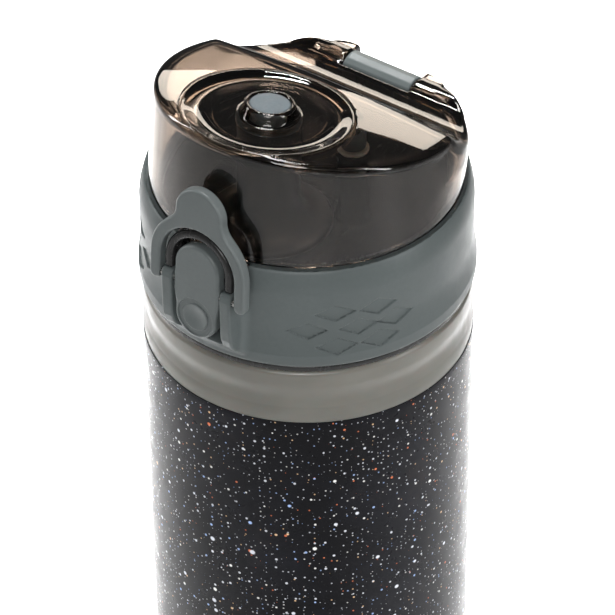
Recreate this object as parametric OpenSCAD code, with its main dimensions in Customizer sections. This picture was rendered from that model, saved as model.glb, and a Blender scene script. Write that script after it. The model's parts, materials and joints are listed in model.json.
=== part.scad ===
// Child's drinking bottle: a straight printed bottle with a screw lid, a smoked flip cover,
// a rocker release button and a swing-down safety ring. Millimetres, base on z = 0,
// button towards -Y, cover hinge towards +Y.

/* [Bottle] */
// Outer radius over the printed film
bottle_r = 35; // [34.9:0.05:35.1]
// Height of the lid collar's lower edge above the resting plane
seat_z = 150; // [130:1:180]
// Wall thickness of the bottle
bottle_wall = 2.2; // [2:0.1:2.6]
// Thickness of the floor
floor_t = 2.6; // [2.2:0.1:4]
// Thickness of the printed film
film_t = 0.15; // [0.12:0.01:0.2]
// Height at which the printed film starts
film_z0 = 8; // [6:1:20]
// Distance from the collar's lower edge down to the film's top edge
film_drop = 15.2; // [13:0.1:25]

/* [Neck and thread] */
// Root radius of the neck
neck_r = 29.6; // [29.4:0.05:29.7]
// Bore radius of the mouth
mouth_r = 27.4; // [26:0.1:27.5]
// Height of the mouth above the collar's lower edge
neck_h = 14; // [13.8:0.1:14]
// Thread pitch
pitch = 4; // [3.9:0.05:4.1]
// Thread length in turns
thread_turns = 1.25; // [1:0.05:1.3]
// Radial depth of the thread
thread_d = 1.2; // [1:0.05:1.25]

/* [Lid] */
// Outer radius of the inner cap
cap_r = 32.9; // [32.8:0.05:32.95]
// Bore radius of the inner cap
cap_bore_r = 31.4; // [31.3:0.05:31.5]
// Height of the deck's upper face above the collar's lower edge
deck_z = 18.2; // [18:0.1:18.4]
// Height of the ledge that the cover closes onto
ledge_z = 23.3; // [23.1:0.1:23.4]

/* [Flip cover] */
// Wall thickness of the cover
cover_wall = 2; // [1.8:0.1:2.2]
// Height of the ridge above the collar's lower edge
ridge_z = 42.2; // [41.5:0.1:43]
// Distance of the ridge behind the bottle's axis
ridge_y = 7.2; // [6.8:0.1:7.6]
// Slope of the front face at the dish, rise per millimetre towards the front
face_slope = 0.185; // [0.17:0.005:0.2]
// Radius of the front face's crown from side to side
crown_r = 170; // [150:5:190]
// Radius of the front face's crown from front to back
face_r = 156; // [150:2:170]
// Radius of the thumb dish at its floor
dish_r = 14.1; // [13.8:0.1:14.3]
// Depth of the thumb dish
dish_d = 1.7; // [1.6:0.05:1.9]

/* [Hinge] */
// Distance of the hinge axis behind the bottle's axis
hinge_y = 27; // [26.8:0.1:27.1]
// Height of the hinge axis above the collar's lower edge
hinge_z = 30.4; // [30.3:0.1:30.6]
// Radius of the fixed knuckle and of the cover's ears
knuckle_r = 3; // [2.95:0.05:3.05]
// Half width of the fixed knuckle
knuckle_w = 8.4; // [8:0.1:8.5]
// Radius of the hinge pin
hinge_pin_r = 1; // [0.9:0.05:1.1]

/* [Latch] */
// Height of the latch pin above the collar's lower edge
latch_z = 17.2; // [17:0.1:17.4]
// Radius of the latch pin
latch_pin_r = 0.8; // [0.7:0.05:0.9]
// Backward lean of the latch, degrees
latch_lean = 4.8; // [4.6:0.1:5]
// Half width of the push button
button_w = 5.45; // [5.3:0.05:5.5]
// Inner half width of the safety ring
ring_in = 9.15; // [9.05:0.05:9.2]
// Thickness of the safety ring
ring_t = 2.5; // [2.3:0.1:2.6]

/* [Hidden] */

clear = 0.3;                      // gap between parts that move past each other
running = 0.05;                   // radial clearance of a pin in the part that turns on it
seated = 0.02;                    // radial clearance of a pin in the part that holds it
far = 80;                         // reach of a cutting body
round_fn = 96;
small_fn = 40;
face_tilt = atan(0.15);           // tilt of the thumb dish and of the plug's axis
dish_flare = 4.5;                 // how much wider the dish is at its lip
plug_boss_r = 5.2;                // boss round the plug, which stands out of the dish
plug_boss_h = 1;                  // its height above the front face
plug_hole_r = 4.25;
rear_z = 32.4;                    // height of the cover behind the valley
ear_z = 33.1;                     // height of the ears beside the knuckle
ear_r = 4.6;                      // reach of the ears behind the hinge axis
ear_w = 14;                       // outer half width of the raised ears
slot_r = knuckle_r + 0.55;        // the cover's slot round the knuckle
crown_z = ridge_z - crown_r;      // height of the crown's axis
plug_y = -12.3;                    // where the plug's axis crosses the front face
face_rise = pow(ridge_y - plug_y, 2) / (2 * face_r);
pin_bed = 15.8;                   // half length of the hinge pin's bore in the cover
catch_reach = 60.9;               // furthest point of the cover's catch from the hinge axis
catch_z = 20.2;                   // foot of the catch
catch_w = 4.5;                    // half width of the catch
pocket_r = 1.95;                  // pocket in the knuckle for the hinge spring
pocket_w = 4.6;
latch_y = -36.97;                 // the latch pin, just in front of the collar
latch_front = -1.25;              // front plane of the button and the ring in the latch's frame
button_t = 2.6;                   // thickness of the button's plate
button_top = 4.7;                 // centre of the button's rounded top above the pin
button_foot_w = 5;                // half width of the button's thumb pad
pad_z = -6.9;                     // centre of the thumb pad below the pin
boss_r = 2.1;                     // the button's bearing on the latch pin
cheek_in = 5.95;                  // the cheeks that hold the latch pin
cheek_out = 8.6;
cheek_top = 19.25;                // flat top of the cheeks
bow_in = 6.4;                     // the bow that stands on the cheeks round the button
bow_out = 8.3;
bow_mid = 4.95;                   // centre of the bow's arc above the pin
window_w = 8.4;                   // half width of the opening behind the bow
window_z = 19.3;
ring_mid = 4.85;                  // centre of the ring's inner arc above the pin
ring_out = 11.7;
ring_out_mid = 5.1;
ring_foot = -1.6;                 // lower ends of the ring's legs
tab_w = 5.7;                      // the finger tab on the ring
tab_mid = 17.8;
mouth_y = -13;                    // the mouthpiece's axis
mouth_top = 43.7;                 // the mouthpiece before its lip is cut to the plug's slope
mouth_bore = 4.1;
socket_r = 9;                     // the mouthpiece's hole in the deck
vent_pos = [12.5, -1.5];          // axis of the air vent's tower
vent_top = 34;                    // top of the tower
vent_bore = 2.4;
vent_post_r = 1.35;               // post under the cover that carries the vent's plug
seat_y = 33.2;                    // fixed end of the button spring in front of the axis
button_spring_z = 9.6;
diamond_w = 8.4;                  // the recessed diamonds in the collar
diamond_h = 4;
diamond_rows = [[35.5, 9.2], [45, 13.3], [45.5, 5.1], [53, 9.2], [60, 13.1], [60.5, 5.1], [66.5, 9.1]];

// ---------- helpers ----------
function arc(c, r, a0, a1, n = 8) =
    [for (i = [0 : n]) c + r * [cos(a0 + (a1 - a0) * i / n), sin(a0 + (a1 - a0) * i / n)]];

module on_lid() { translate([0, 0, seat_z]) children(); }

module spin(points, fn = round_fn) { rotate_extrude($fn = fn) polygon(points); }

// A bar along X, centred on x = 0
module bar_x(r, half_len, fn = small_fn) {
    rotate([0, 90, 0]) cylinder(r = r, h = 2 * half_len, center = true, $fn = fn);
}

// A rounded helical ridge: inner radius and half height, outer radius and half height
module helix_ridge(r_in, h_in, r_out, h_out, z0, embed_in = 0, embed_out = 0) {
    steps = 60;
    fade = 0.09;
    turns = thread_turns;
    root = embed_in > 0 ? r_in : r_out;
    rings = [for (i = [0 : steps])
        let (t = i / steps, k = min(1, min(t, 1 - t) / fade + 0.15), a = 360 * turns * t,
            ri = root + (r_in - root) * k - embed_in, ro = root + (r_out - root) * k + embed_out,
            z = z0 + pitch * turns * t)
        [for (p = [[ri, -h_in], [ro, -h_out], [ro, h_out], [ri, h_in]])
            [p[0] * cos(a), p[0] * sin(a), z + p[1]]]];
    sides = [for (i = [0 : steps - 1], k = [0 : 3])
        [4 * i + k, 4 * i + (k + 1) % 4, 4 * (i + 1) + (k + 1) % 4, 4 * (i + 1) + k]];
    polyhedron(points = [for (r = rings, p = r) p],
        faces = concat(sides, [[3, 2, 1, 0], [for (k = [0 : 3]) 4 * steps + k]]), convexity = 8);
}

// A round wire wound about Z
module coil(r, wire_r, turns, length, per_turn = 20, sides = 6) {
    n = ceil(turns * per_turn);
    pts = [for (i = [0 : n], k = [0 : sides - 1])
        let (a = 360 * turns * i / n, b = 360 * k / sides, q = r + wire_r * cos(b))
        [q * cos(a), q * sin(a), length * i / n + wire_r * sin(b)]];
    quads = [for (i = [0 : n - 1], k = [0 : sides - 1])
        [sides * i + (k + 1) % sides, sides * i + k, sides * (i + 1) + k,
            sides * (i + 1) + (k + 1) % sides]];
    polyhedron(points = pts, faces = concat(quads,
        [[for (k = [0 : sides - 1]) k], [for (k = [sides - 1 : -1 : 0]) sides * n + k]]),
        convexity = 10);
}

// The latch's own frame: origin on its pin, Z up along the lean, Y backwards
module on_latch() {
    translate([0, latch_y, latch_z]) rotate([-latch_lean, 0, 0]) children();
}

// A plate in the latch's frame from depth y0 to y1, drawn as x and height
module latch_plate(y0, y1) {
    translate([0, y1, 0]) rotate([90, 0, 0]) linear_extrude(y1 - y0) children();
}

module on_hinge() { translate([0, hinge_y, hinge_z]) children(); }

// Height of the front face along its middle, at a distance behind the bottle's axis
function face_z(y) = ridge_z - face_slope * (y - ridge_y) + face_rise
    - pow(y - plug_y, 2) / (2 * face_r);

// The front face's own frame: origin in the middle of the thumb dish, Z out of the face
module on_face() {
    translate([0, plug_y, face_z(plug_y)]) rotate([-face_tilt, 0, 0]) children();
}

// ---------- bottle ----------
module bottle_body() {
    color("dimgray", 0.9) {
        r = bottle_r - film_t;
        edge = 3.8;
        groove_z = seat_z - 8.7;
        neck_top = seat_z + neck_h;
        inner_r = r - bottle_wall;
        spin(concat(
            [[0, 0]],
            arc([r - edge, edge], edge, -90, 0),
            [[r, groove_z - 3.3], [r - 0.15, groove_z - 1.6], [r - 0.45, groove_z],
                [r - 0.15, groove_z + 1.6], [r - 0.15, groove_z + 5.2]],
            arc([r - 1.35, seat_z - 3.1], 1.2, 0, 90, 4),
            [[neck_r, seat_z - 1.9]],
            arc([neck_r - 0.6, neck_top - 0.6], 0.6, 0, 90, 3),
            [[mouth_r, neck_top], [mouth_r, seat_z - 3]],
            arc([inner_r - 3, seat_z - 10.4], 3, 60, 0, 4),
            arc([inner_r - 3, floor_t + 3], 3, 0, -90),
            [[0, floor_t]]));
        helix_ridge(neck_r, 1, neck_r + thread_d, 0.5, seat_z + 5, embed_in = 0.3);
    }
}

module print_film() {
    color("black") spin([[bottle_r - film_t, film_z0], [bottle_r, film_z0],
        [bottle_r, seat_z - film_drop], [bottle_r - film_t, seat_z - film_drop]]);
}

// ---------- lid ----------
module neck_gasket() {
    color("gainsboro") on_lid() spin(concat(
        [[27.2, neck_h], [30.6, neck_h], [30.6, neck_h + 1.2]],
        arc([30, neck_h + 1.4], 0.6, 0, 90, 4),
        [[27.8, neck_h + 2], [27.2, neck_h + 1.4]]));
}

// The opening in the lid's front that the bow and the cover's catch stand in
module front_window() {
    translate([-window_w, -far, window_z]) cube([2 * window_w, far - 30.5, 30]);
}

// Room for the cover's ears to turn, either side of the knuckle
module ear_room() {
    reach = 10;
    for (s = [-1, 1]) on_hinge() translate([s * (knuckle_w + 0.1 + reach), 0, 0])
        bar_x(ear_r + 0.15, reach);
}

// The bow round the button's top: an arch on two legs, drawn as x and height in the latch's frame
module bow_outline(r) {
    translate([0, bow_mid]) circle(r = r, $fn = round_fn);
    translate([-r, -2]) square([2 * r, bow_mid + 2]);
}

module bow() {
    difference() {
        on_latch() latch_plate(-0.75, 8) difference() {
            bow_outline(bow_out);
            bow_outline(bow_in);
        }
        translate([-far, -far, window_z - far]) cube([2 * far, 2 * far, far]);
        translate([-far, -34.05, 21.2]) cube([2 * far, far, far]);
        translate([-far, -31.2, 0]) cube([2 * far, far, far]);
    }
}

module screw_cap() {
    color([0.16, 0.17, 0.17]) on_lid() {
        difference() {
            spin([[cap_bore_r, -1.7], [34.3, -1.7], [34.6, -1.4], [34.6, -0.2], [cap_r, -0.2],
                [cap_r, 21.2], [31, 21.2], [31, deck_z], [0, deck_z], [0, 16], [cap_bore_r, 16]]);
            translate([0, mouth_y, 10]) cylinder(r = socket_r, h = 20, $fn = small_fn);
            translate([vent_pos[0], vent_pos[1], 10]) cylinder(r = vent_bore, h = 20, $fn = small_fn);
            difference() {
                front_window();
                for (s = [-1, 1]) translate([s * (bow_in + bow_out) / 2 - (bow_out - bow_in) / 2, -far, 0])
                    cube([bow_out - bow_in, far, far]);
            }
        }
        bow();
        helix_ridge(cap_bore_r - thread_d, 0.5, cap_bore_r, 1, 3, embed_out = 0.3);
        // air vent's tower
        translate([vent_pos[0], vent_pos[1], 0]) spin([[vent_bore, deck_z - 0.5], [4.4, deck_z - 0.5],
            [4.4, deck_z], [3.6, deck_z + 1.2], [3.4, vent_top], [vent_bore, vent_top]], small_fn);
        // button spring's seat
        translate([0, -cap_r + 0.4, button_spring_z]) rotate([90, 0, 0])
            cylinder(r = 1, h = 1.2, $fn = small_fn);
    }
}

// One recessed diamond in the collar's side, at an angle from the front and a height
module diamond(a, z, w = diamond_w, h = diamond_h) {
    rotate([0, 0, a]) translate([0, -30, z]) rotate([90, 0, 0])
        linear_extrude(30) polygon([[-w / 2, 0], [0, -h / 2], [w / 2, 0], [0, h / 2]]);
}

module collar_shell() {
    color([0.36, 0.39, 0.39]) on_lid() difference() {
        union() {
            spin([[cap_r + 0.2, 0], [35.1, 0], [35.4, 0.9], [35.4, 3], [35.07, 5.6], [34.75, 9],
                [34.65, 14], [34.65, 18], [34.33, 20.3], [33.85, 22.4], [33.45, 23.7],
                [33.25, 23.9], [33.05, 23.7], [33.05, ledge_z], [29.4, ledge_z], [29.4, 21.5],
                [cap_r + 0.2, 21.5]]);
            // cheeks of the latch
            translate([-cheek_out, 0, 0]) rotate([90, 0, 90]) linear_extrude(2 * cheek_out)
                polygon([[-33.4, 2.6], [-35.2, 3], [-36.6, 3.9], [-37.8, 5.4], [-38.45, 7.4],
                    [-38.6, 10], [-38.6, 17.4], [-38.3, 18.7], [-37.6, cheek_top], [-33.4, cheek_top]]);
            // rear wall and the fixed knuckle
            intersection() {
                spin([[31.2, 22], [33.2, 22], [33.2, 23.8], [32.1, 30], [31.2, 30]]);
                translate([-17.6, hinge_y + 0.5, 0]) cube([35.2, 20, 28.4]);
            }
            translate([-knuckle_w, 0, 0]) rotate([90, 0, 90]) linear_extrude(2 * knuckle_w)
                polygon([[24.1, 21.9], [32.2, 21.9], [32.2, 24.5], [31.4, 27.6], [30.4, 30.2],
                    [29.9, 32], [29, 33], [27.5, 33.35], [25.7, 33.1], [24.7, 32.3], [24.05, 31.2]]);
            on_hinge() bar_x(knuckle_r, knuckle_w);
        }
        translate([-cheek_in, -far, 3.9]) cube([2 * cheek_in, far - 30, 30]);
        front_window();
        ear_room();
        on_hinge() bar_x(hinge_pin_r + seated, 40);
        // pocket for the hinge spring, open to the front
        on_hinge() bar_x(pocket_r, pocket_w);
        translate([-pocket_w, hinge_y - 5, hinge_z - 6]) cube([2 * pocket_w, 5, 6]);
        // bore of the latch pin
        on_latch() bar_x(latch_pin_r + seated, 40);
        // recessed diamonds either side of the latch
        difference() {
            for (s = [-1, 1], d = diamond_rows) diamond(s * d[0], d[1]);
            spin([[0, 0], [34.9, 0], [34.62, 5.6], [34.3, 9], [34.2, 14], [34.2, 18], [0, 18]]);
        }
    }
}

module mouthpiece() {
    color([0.13, 0.13, 0.13]) on_lid() difference() {
        union() {
            translate([0, mouth_y, 0]) spin(concat(
                [[0, 16.4], [8.8, 16.4], [8.8, deck_z + 0.8], [12.1, deck_z + 0.8]],
                arc([12.1, deck_z + 1.6], 0.8, -90, 90, 6),
                arc([14.2, 30], 7.2, -125, -165, 5),
                [[6.4, mouth_top - 3]], arc([5.4, mouth_top - 1], 1, 0, 90, 4), [[0, mouth_top]]), 64);
        }
        translate([0, mouth_y, 10]) cylinder(r = mouth_bore, h = 40, $fn = small_fn);
        on_face() translate([0, 0, -dish_d - cover_wall - 0.95]) cylinder(r = far, h = far);
    }
}

module mouthpiece_seal() {
    color("gainsboro") on_lid() translate([0, mouth_y, 0]) difference() {
        translate([0, 0, deck_z]) cylinder(r = 12, h = 0.8, $fn = 64);
        cylinder(r = socket_r - 0.15, h = 60, $fn = 64);
    }
}

module vent_valve() {
    color("whitesmoke") on_lid() translate([vent_pos[0], vent_pos[1], 0]) difference() {
        spin([[0, vent_top - 6], [0.9, vent_top - 6], [vent_bore, vent_top - 3.6], [vent_bore, vent_top],
            [3.2, vent_top], [3.2, vent_top + 0.5], [2.9, vent_top + 0.8], [0, vent_top + 0.8]],
            small_fn);
        translate([0, 0, vent_top - 8]) cylinder(r = 0.5, h = 20, $fn = 16);
    }
}

// ---------- flip cover ----------
// Solid under the cover's side, drawn in by the given distance; it is fuller behind the axis
module cover_side(inset = 0) {
    spin([[0, 15], [32.75 - inset, 15], [32.65 - inset, 24], [31.9 - inset, 31.5], [31 - inset, 41.5],
        [30.2 - inset, 51], [0, 51]]);
    intersection() {
        spin([[0, 24.2], [32.7 - inset, 24.2], [33 - inset, rear_z - 1], [33 - inset, ear_z],
            [0, ear_z]]);
        translate([-far, 12, 0]) cube([2 * far, far, far]);
    }
}

// Solid under the cover's outer faces, drawn in by the given distance all round
module cover_form(inset = 0) {
    valley_y = 22.5;
    ridge_h = ridge_z - rear_z;
    valley_r = (pow(valley_y - ridge_y, 2) + pow(ridge_h, 2)) / (2 * ridge_h);
    front = -36;
    steps = 12;
    rear = 14;
    profile = concat(
        [[10, front]],
        [for (i = [0 : steps]) let (y = front + (rear - front) * i / steps) [face_z(y) - inset, y]],
        [[face_z(rear) - inset, 34], [10, 34]]);
    difference() {
        intersection() {
            cover_side(inset);
            multmatrix([[0, 1, 0, 0], [0, 0, 1, 0], [1, 0, 0, crown_z], [0, 0, 0, 1]])
                rotate_extrude($fn = 180) polygon([for (p = profile) [p[0] - crown_z, p[1]]]);
        }
        translate([0, valley_y, rear_z + valley_r]) bar_x(valley_r + inset, far, 144);
        translate([-far, valley_y, rear_z - inset]) cube([2 * far, far, far]);
    }
}

module flip_cover() {
    color([0.3, 0.28, 0.26], 0.55) on_lid() difference() {
        union() {
            difference() {
                cover_form();
                cover_form(cover_wall);
                translate([0, 0, 23.6 - far]) cylinder(r = far, h = far);
            }
            // dish floor
            intersection() {
                on_face() translate([0, 0, -dish_d - cover_wall])
                    cylinder(r1 = dish_r + 1.2, r2 = dish_r + dish_flare + 1, h = dish_d + cover_wall,
                        $fn = round_fn);
                cover_form();
            }
            plug_boss();
            // post of the vent's plug
            intersection() {
                translate([vent_pos[0], vent_pos[1], vent_top + 2.3])
                    cylinder(r = vent_post_r, h = 20, $fn = small_fn);
                cover_form(0.5);
            }
            // catch that hangs behind the button's hook
            intersection() {
                union() {
                    translate([-catch_w, -32.5, catch_z]) cube([2 * catch_w, 1.6, 5.3]);
                    translate([-catch_w, -36, catch_z]) cube([2 * catch_w, 4.5, 1.9]);
                }
                on_hinge() bar_x(catch_reach, 20, 180);
            }
            // ears
            intersection() {
                for (s = [-1, 1]) on_hinge() {
                    translate([s * (knuckle_w + clear + 10), 0, 0]) bar_x(knuckle_r, 10);
                    intersection() {
                        translate([s * (knuckle_w + clear + ear_w) / 2, 0, 0])
                            bar_x(ear_r, (ear_w - knuckle_w - clear) / 2);
                        translate([-far, -1.5, 0]) cube([2 * far, far, ear_z - hinge_z]);
                    }
                }
                cover_side();
            }
        }
        // thumb dish and the plug's hole
        difference() {
            on_face() translate([0, 0, -dish_d])
                cylinder(r1 = dish_r, r2 = dish_r + dish_flare, h = dish_d, $fn = round_fn);
            plug_boss();
        }
        on_face() translate([0, 0, -20]) cylinder(r = plug_hole_r, h = 40, $fn = 64);
        // slot for the knuckle
        on_hinge() {
            bar_x(slot_r, knuckle_w + clear);
            translate([-knuckle_w - clear, 0, -10]) cube([2 * (knuckle_w + clear), 20, 30]);
            translate([-knuckle_w - clear, -slot_r, -10]) cube([2 * (knuckle_w + clear), 20, 10]);
        }
        // room for the collar's rear wall
        difference() {
            translate([-far, hinge_y + 0.2, 0]) cube([2 * far, far, 60]);
            on_hinge() {
                bar_x(knuckle_r, far);
                intersection() {
                    bar_x(ear_r, far);
                    translate([-far, 0, 0]) cube([2 * far, far, far]);
                }
            }
        }
        on_hinge() bar_x(hinge_pin_r + running, pin_bed);
    }
}

// Boss in the middle of the thumb dish
module plug_boss() {
    on_face() translate([0, 0, -dish_d])
        cylinder(r1 = plug_boss_r + 0.7, r2 = plug_boss_r, h = dish_d + plug_boss_h, $fn = 64);
}

module spout_plug() {
    plug_h = dish_d + cover_wall + plug_boss_h - 0.15;
    color([0.42, 0.47, 0.5]) on_lid() on_face() translate([0, 0, -dish_d - cover_wall])
        spin([[0, -3.2], [2.9, -3.2], [3.3, -2.7], [3.3, -0.9], [6.6, -0.9], [6.6, 0], [4.2, 0],
            [4.2, plug_h - 0.3], [3.9, plug_h - 0.1], [0, plug_h]], 64);
}

module vent_plug() {
    z0 = vent_top + 1;
    color([0.42, 0.47, 0.5]) on_lid() translate([vent_pos[0], vent_pos[1], 0])
        spin([[0, z0], [2.2, z0], [2.6, z0 + 0.5], [2.6, z0 + 3.4], [vent_post_r + seated, z0 + 3.4],
            [vent_post_r + seated, z0 + 1.2], [0, z0 + 1.2]], small_fn);
}

// ---------- hinge ----------
module hinge_pin() { color("silver") on_lid() on_hinge() bar_x(hinge_pin_r, 15.5); }

module hinge_spring() {
    turns = 8;
    wire = 0.28;
    color("silver") on_lid() on_hinge() {
        translate([-3.9, 0, 0]) rotate([0, 90, 0]) coil(1.45, wire, turns, 7.8);
    }
}

// ---------- latch ----------
module push_button() {
    color([0.4, 0.43, 0.43]) on_lid() on_latch() difference() {
        union() {
            latch_plate(latch_front, latch_front + button_t) union() {
                translate([0, button_top]) circle(r = button_w, $fn = round_fn);
                translate([-button_w, -1.5]) square([2 * button_w, button_top + 1.5]);
                translate([-button_foot_w, pad_z]) square([2 * button_foot_w, -pad_z]);
                translate([0, pad_z]) circle(r = button_foot_w, $fn = round_fn);
            }
            intersection() {
                bar_x(boss_r, button_foot_w);
                translate([-10, latch_front + 0.5, -10]) cube(20);
            }
            // hook behind the rounded top
            translate([-3, 0, button_top + 0.7]) cube([6, latch_front + button_t + 0.4, 2]);
        }
        bar_x(latch_pin_r + running, 20);
        // thumb dimple inside a round groove
        translate([0, latch_front, pad_z]) rotate([90, 0, 0]) {
            translate([0, 0, -0.35]) difference() {
                cylinder(r = 4.25, h = 1, $fn = 64);
                translate([0, 0, -1]) cylinder(r = 3.1, h = 3, $fn = 64);
            }
            translate([0, 0, 7.35]) sphere(r = 7.8, $fn = 80);
        }
    }
}

module button_spring() {
    color("silver") on_lid() translate([0, -seat_y, button_spring_z]) rotate([90, 0, 0])
        coil(1.6, 0.25, 4, 1.8);
}

module latch_pin() { color("silver") on_lid() on_latch() bar_x(latch_pin_r, 10.4); }

module lock_ring() {
    fillet_r = 1.6;
    // centre of the round corner between the tab and the ring
    corner = [tab_w + fillet_r, ring_out_mid + sqrt(pow(ring_out + fillet_r, 2) - pow(tab_w + fillet_r, 2))];
    color([0.4, 0.43, 0.43]) on_lid() on_latch() difference() {
        latch_plate(latch_front, latch_front + ring_t) difference() {
            union() {
                intersection() {
                    translate([0, ring_out_mid]) circle(r = ring_out, $fn = round_fn);
                    translate([-20, 2]) square([40, 20]);
                }
                translate([-ring_out, ring_foot]) square([2 * ring_out, ring_out_mid - ring_foot]);
                translate([0, tab_mid]) circle(r = tab_w, $fn = round_fn);
                translate([-tab_w, 10]) square([2 * tab_w, tab_mid - 10]);
                difference() {
                    translate([-corner[0] + 0.1, 12]) square([2 * corner[0] - 0.2, corner[1] - 12]);
                    for (s = [-1, 1]) translate([s * corner[0], corner[1]])
                        circle(r = fillet_r, $fn = small_fn);
                }
            }
            translate([0, ring_mid]) circle(r = ring_in, $fn = round_fn);
            translate([-ring_in, -3]) square([2 * ring_in, ring_mid + 3]);
        }
        bar_x(latch_pin_r + running, 10.6);
    }
}

bottle_body();
print_film();
neck_gasket();
screw_cap();
collar_shell();
mouthpiece();
mouthpiece_seal();
vent_valve();
flip_cover();
spout_plug();
vent_plug();
hinge_pin();
hinge_spring();
push_button();
button_spring();
latch_pin();
lock_ring();
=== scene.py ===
"""Looks of a child's drinking bottle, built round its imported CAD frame.

Shapes are worked out in millimetres and become metres when a mesh is made. Everything on the lid is drawn
with z = 0 at the collar's lower edge. Moulded parts with soft edges are distance fields, meshed by surface
nets; turned parts are lathed profiles.
"""
import json
from math import atan, cos, pi, radians, sin

import bmesh
import bpy
import numpy as np
from mathutils import Matrix, Vector


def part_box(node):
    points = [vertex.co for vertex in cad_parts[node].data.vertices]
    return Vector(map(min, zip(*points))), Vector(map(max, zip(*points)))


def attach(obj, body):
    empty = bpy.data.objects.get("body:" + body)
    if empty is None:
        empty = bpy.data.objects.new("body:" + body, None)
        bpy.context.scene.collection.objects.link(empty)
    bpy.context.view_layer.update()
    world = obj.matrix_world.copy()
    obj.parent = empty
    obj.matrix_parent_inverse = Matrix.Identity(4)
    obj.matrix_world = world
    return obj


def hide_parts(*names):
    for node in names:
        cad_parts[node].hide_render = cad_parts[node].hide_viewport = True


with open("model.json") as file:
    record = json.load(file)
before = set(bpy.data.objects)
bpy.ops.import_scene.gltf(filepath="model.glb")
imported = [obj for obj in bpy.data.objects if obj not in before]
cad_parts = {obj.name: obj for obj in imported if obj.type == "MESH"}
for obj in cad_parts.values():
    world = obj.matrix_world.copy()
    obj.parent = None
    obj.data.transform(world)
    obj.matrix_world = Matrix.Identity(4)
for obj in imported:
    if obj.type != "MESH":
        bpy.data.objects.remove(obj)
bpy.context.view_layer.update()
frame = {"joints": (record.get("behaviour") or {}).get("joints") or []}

MM = 0.001


def mm(value):
    """Metres to millimetres."""
    return value / MM


def joint_place(name):
    """A hinge's position in millimetres."""
    joint = next(j for j in frame["joints"] if j["name"] == name)
    return [mm(v) for v in joint["pos_m"]]


# ---------- sizes, in millimetres ----------
SEAT = mm(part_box("collar_shell")[0].z)           # lower edge of the lid's collar
BODY_R = mm(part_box("print_film")[1].x)           # over the printed film
FILM_T = BODY_R - mm(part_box("bottle_body")[1].x)
FILM_LOW = mm(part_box("print_film")[0].z)
FILM_TOP = mm(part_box("print_film")[1].z)
NECK_TOP = mm(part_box("bottle_body")[1].z) - SEAT
HINGE_Y, HINGE_Z = joint_place("cover_hinge")[1], joint_place("cover_hinge")[2] - SEAT
LATCH_Y, LATCH_Z = joint_place("button_press")[1], joint_place("button_press")[2] - SEAT
LATCH_LEAN = radians(4.8)
RIDGE_Y, RIDGE_Z = 7.2, 42.2
FACE_SLOPE = 0.185                               # the cover's front face falls away to the back
FACE_TILT = atan(0.15)                           # and so does the floor of the dish
FACE_R, CROWN_R = 156, 170                       # the face's crown, front to back and side to side
VALLEY_Y, REAR_Z = 22.5, 32.4                    # the hollow behind the ridge and its lowest height
VALLEY_R = ((VALLEY_Y - RIDGE_Y) ** 2 + (RIDGE_Z - REAR_Z) ** 2) / (2 * (RIDGE_Z - REAR_Z))
EAR_Z, EAR_R, EAR_W = 33.1, 4.6, 14.0            # raised ears beside the knuckle
SIDE_R, SIDE_LEAN, SIDE_FOOT = 32.65, 0.0886, 24   # the cover's side, which leans in over its foot
REAR_SWELL = 0.4                                 # how much fuller the side is behind
WALL = 2.0
COVER_LOW = 23.6                                 # its lower edge
DISH_Y, DISH_R, DISH_DEPTH = -12.3, 14.1, 1.7
DISH_FLARE = 2.65                                # how fast the dish widens over its floor
BOSS_R, BOSS_H, PLUG_HOLE_R = 5.2, 1.0, 4.25
KNUCKLE_R, KNUCKLE_W = 3.0, 8.4
KNUCKLE_GAP = 0.3                                # beside the knuckle
SLOT_R = KNUCKLE_R + 0.55                        # round the knuckle
PIN_R, PIN_HALF, PIN_BED = 1.0, 15.5, 15.8       # hinge pin, and the blind bore that it lies in
SPRING_POCKET_R, SPRING_POCKET_W = 1.95, 4.6     # in the knuckle
CATCH_Z = 20.2                                   # foot of the catch that the button's hook holds
CATCH_REACH = 60.9                               # furthest the catch stands from the hinge axis
CATCH_W = 4.5
VENT_X, VENT_Y, VENT_TOP = 12.5, -1.5, 34
VENT_R, VENT_BORE, VENT_POST_R = 3.4, 2.4, 1.35  # the vent's tower, and the post for its plug
MOUTH_Y = -13.0
MOUTH_BORE, SPOUT_R, FLANGE_R, SOCKET_R = 4.1, 6.4, 12.9, 9.0
DECK_Z = 18.2
CAP_R, CAP_BORE, CAP_LOW, CAP_HIGH = 32.9, 31.4, -1.7, 21.2
LIP_R, LIP_TOP = 34.6, -0.2                      # the cap's lip under the collar
WINDOW_W, WINDOW_Z = 8.4, 19.3                   # the opening behind the button
COLLAR_R, COLLAR_TOP = 34.65, 23.9
REAR_WALL_W, REAR_WALL_TOP = 17.6, 28.4
CHEEK_W, CHEEK_IN = 8.6, 5.95                    # half widths over and between the latch's cheeks
RING_IN, RING_OUT = 9.15, 11.7
BOW_R, BOW_MID, BOW_HALF = 7.35, 4.95, 0.95      # the bow's middle radius, its centre and half its width
PAD_Z = -6.9                                     # middle of the button's thumb pad, from the latch axis
LATCH_PIN_R, LATCH_PIN_HALF = 0.8, 10.4
LATCH_BORE = LATCH_PIN_R + 0.05
SPRING_Z = 9.6                                   # height of the button's spring
DIAMOND_ON_R, DIAMOND_W, DIAMOND_H, DIAMOND_D = 34.9, 4.2, 2.0, 0.45
DIAMONDS = ((35.5, 9.1), (45, 13.3), (45.5, 5.0), (53, 9.1), (60, 13.1), (60.5, 5.0), (66.5, 9.0))
PITCH, THREAD_TURNS, THREAD_D = 4, 1.25, 1.2
NECK_R = 29.6

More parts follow.
